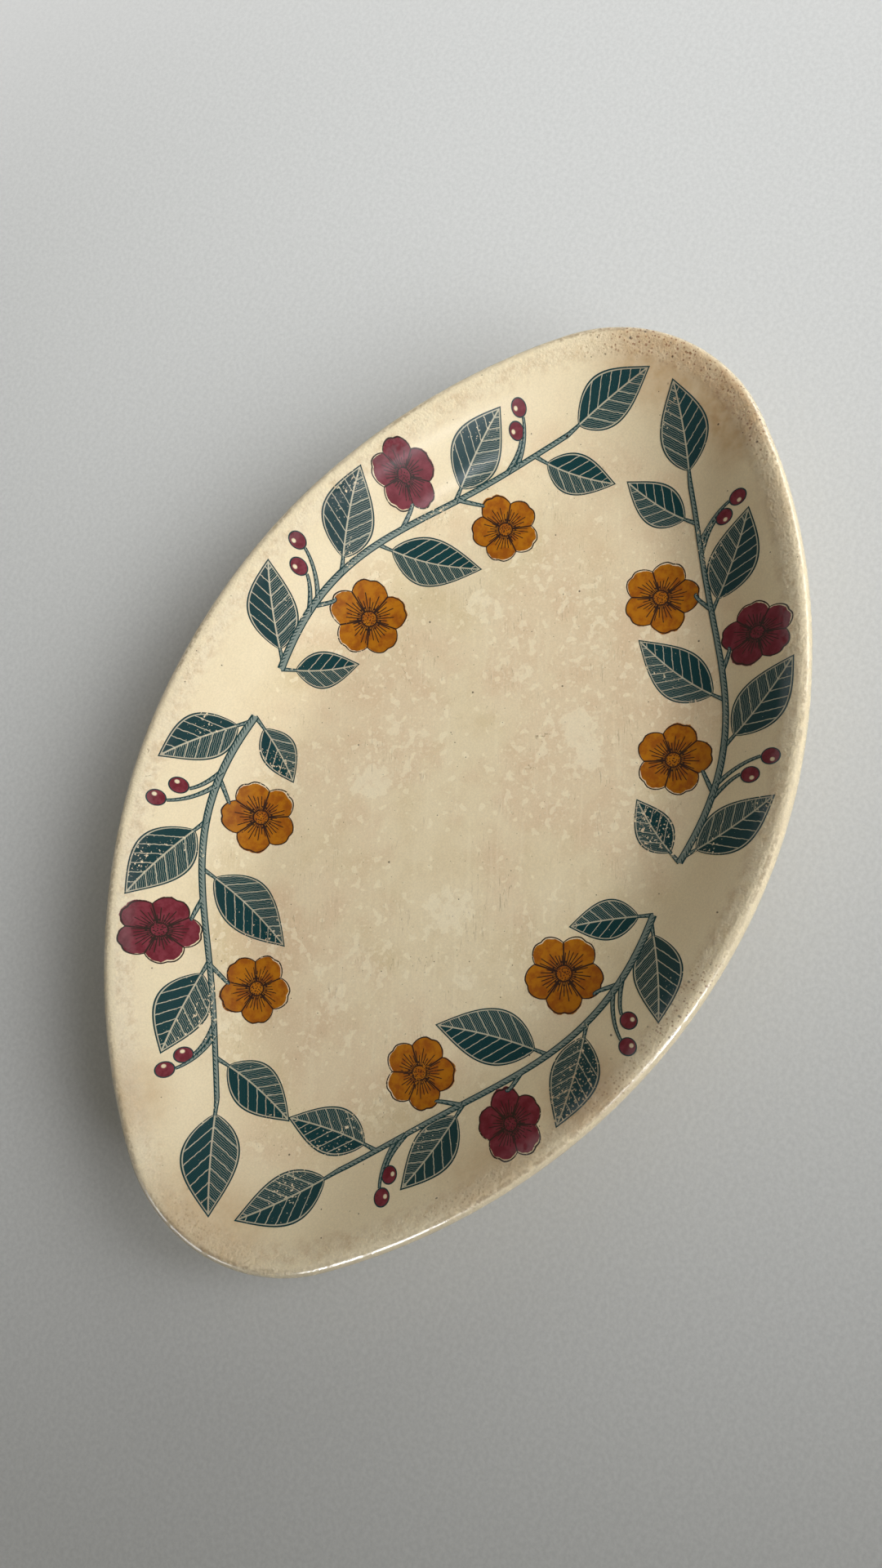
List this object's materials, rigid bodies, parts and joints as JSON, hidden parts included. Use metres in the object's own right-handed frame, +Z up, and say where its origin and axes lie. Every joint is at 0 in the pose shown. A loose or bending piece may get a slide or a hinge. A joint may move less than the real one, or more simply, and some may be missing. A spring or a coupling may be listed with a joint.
{
  "type": "oval serving dish",
  "caption": "Shallow oval earthenware dish with a flared wall, rounded lip and low foot ring, for serving olives, pickles and other cold starters.",
  "frame": {"origin": "centre of the foot ring's standing face, at the table", "axes": "+X along the length of the dish, +Y across its width, +Z up out of the well"},
  "size_m": [0.24, 0.148, 0.03],
  "materials": {
    "earthenware": "bare fired clay, matt and slightly stained",
    "cream_glaze": "aged cream glaze, glossy, mottled and finely crazed"
  },
  "bodies": {
    "root": {"body": "earthenware", "foot_ring": "earthenware", "glaze": "cream_glaze", "base_glaze": "cream_glaze"}
  },
  "joints": []
}
